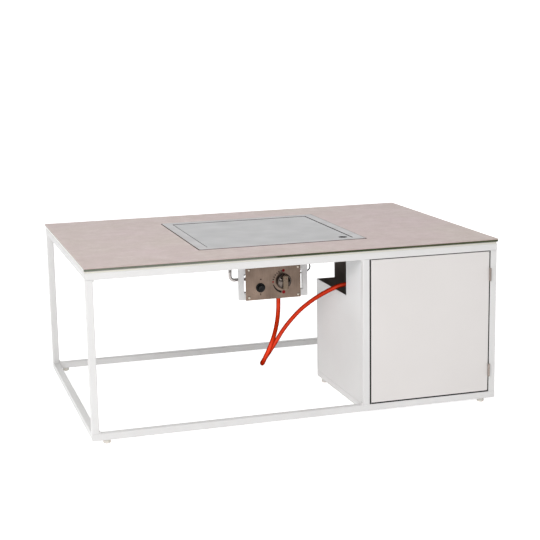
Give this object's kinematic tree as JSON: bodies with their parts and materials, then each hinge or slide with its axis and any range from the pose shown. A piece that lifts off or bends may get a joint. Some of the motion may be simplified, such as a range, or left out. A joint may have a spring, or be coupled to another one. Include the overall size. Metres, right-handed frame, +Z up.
{
  "type": "fire pit table",
  "caption": "Low gas fire pit table: white square-tube frame, beige ceramic top with a flush steel burner tray and lid, hanging control plate, orange gas hose and bottle cabinet with a door",
  "frame": {"origin": "centre of the table's footprint, on the floor under its glides", "axes": "+X to the table's right along its length, +Y to its back, +Z up; controls and door face -Y"},
  "size_m": [1.2, 0.8033, 0.486],
  "materials": {
    "frame_paint": "white powder coat, satin",
    "panel_paint": "white powder coat, satin",
    "glide_plastic": "cream moulded plastic",
    "pad_rubber": "black, matte",
    "dark_glass": "opaque green-black, polished edge",
    "ceramic": "opaque pinkish beige ceramic, matte and lightly mottled",
    "tray_steel": "fine brushed",
    "lid_steel": "fine brushed",
    "burner_steel": "plain stainless, heat dulled",
    "lava": "rough porous stone",
    "plate_steel": "brushed stainless",
    "fitting_steel": "plain",
    "fitting_brass": "plain",
    "valve_alloy": "cast, matte",
    "knob_metal": "satin chrome",
    "black_plastic": "fine texture",
    "regulator_paint": "grey, satin",
    "lamp": "red lens",
    "lead_rubber": "black, satin",
    "hose_rubber": "orange, satin"
  },
  "bodies": {
    "table": {"bottom_rail_front": "frame_paint", "bottom_rail_back": "frame_paint", "bottom_rail_left": "frame_paint", "bottom_rail_right": "frame_paint", "top_rail_front": "frame_paint", "top_rail_back": "frame_paint", "top_rail_left": "frame_paint", "top_rail_right": "frame_paint", "leg_front_left": "frame_paint", "leg_front_right": "frame_paint", "leg_back_left": "frame_paint", "leg_back_right": "frame_paint", "cabinet_post": "frame_paint", "cabinet_rail_left": "frame_paint", "cabinet_rail_back": "frame_paint", "cross_rails": "frame_paint", "weld_beads": "frame_paint", "hanger_arm_left": "frame_paint", "hanger_arm_right": "frame_paint", "hanger_bar_low": "frame_paint", "hanger_bar_high": "frame_paint", "cabinet_panel_left": "panel_paint", "cabinet_panel_back": "panel_paint", "cabinet_panel_right": "panel_paint", "cabinet_floor": "panel_paint", "glides": "glide_plastic", "glass_pads": "pad_rubber", "lead_bushes": "pad_rubber", "glass_sheet": "dark_glass", "ceramic_top": "ceramic", "burner_tray": "tray_steel", "burner_ring": "burner_steel", "burner_blocks": "burner_steel", "pilot_electrodes": "burner_steel", "lava_rocks": "lava", "control_plate": "plate_steel", "plate_screws": "fitting_steel", "hinge_frame_leaves": "fitting_steel", "hinge_pins": "fitting_steel", "supply_pipe": "fitting_steel", "burner_inlet": "fitting_brass", "pipe_nuts": "fitting_brass", "hose_fitting": "fitting_brass", "valve_body": "valve_alloy", "regulator_body": "valve_alloy", "igniter_case": "black_plastic", "magnet_catch": "black_plastic", "regulator_cap": "regulator_paint", "signal_lamp": "lamp", "spark_lead": "lead_rubber", "probe_lead": "lead_rubber", "gas_hose": "hose_rubber"},
    "door": {"door_panel": "panel_paint", "hinge_door_leaves": "fitting_steel", "door_strike": "fitting_steel"},
    "lid": {"lid": "lid_steel"},
    "igniter_button": {"igniter_button": "black_plastic"},
    "valve_stem": {"valve_stem": "fitting_steel"},
    "knob": {"knob": "knob_metal"},
    "coupling_wheel": {"coupling_wheel": "black_plastic"}
  },
  "joints": [
    {"name": "door_hinge", "type": "hinge", "parent": "table", "child": "door", "pos_m": [0.5755, -0.3998, 0.239], "axis": [0, 0, 1], "range_deg": [0, 170]},
    {"name": "lid_lift", "type": "slide", "parent": "table", "child": "lid", "axis": [0, 0, 1], "range_m": [0, 0.2]},
    {"name": "igniter_push", "type": "slide", "parent": "table", "child": "igniter_button", "axis": [0, 1, 0], "range_m": [0, 0.004], "stiffness_N_per_m": 800},
    {"name": "stem_push", "type": "slide", "parent": "table", "child": "valve_stem", "axis": [0, 1, 0], "range_m": [0, 0.003], "stiffness_N_per_m": 1500},
    {"name": "knob_turn", "type": "hinge", "parent": "valve_stem", "child": "knob", "pos_m": [0.032, -0.15, 0.353], "axis": [0, -1, 0], "range_deg": [0, 180]},
    {"name": "coupling_turn", "type": "hinge", "parent": "table", "child": "coupling_wheel", "pos_m": [0.262, -0.012, 0.052], "axis": [0, 1, 0], "continuous": true}
  ]
}
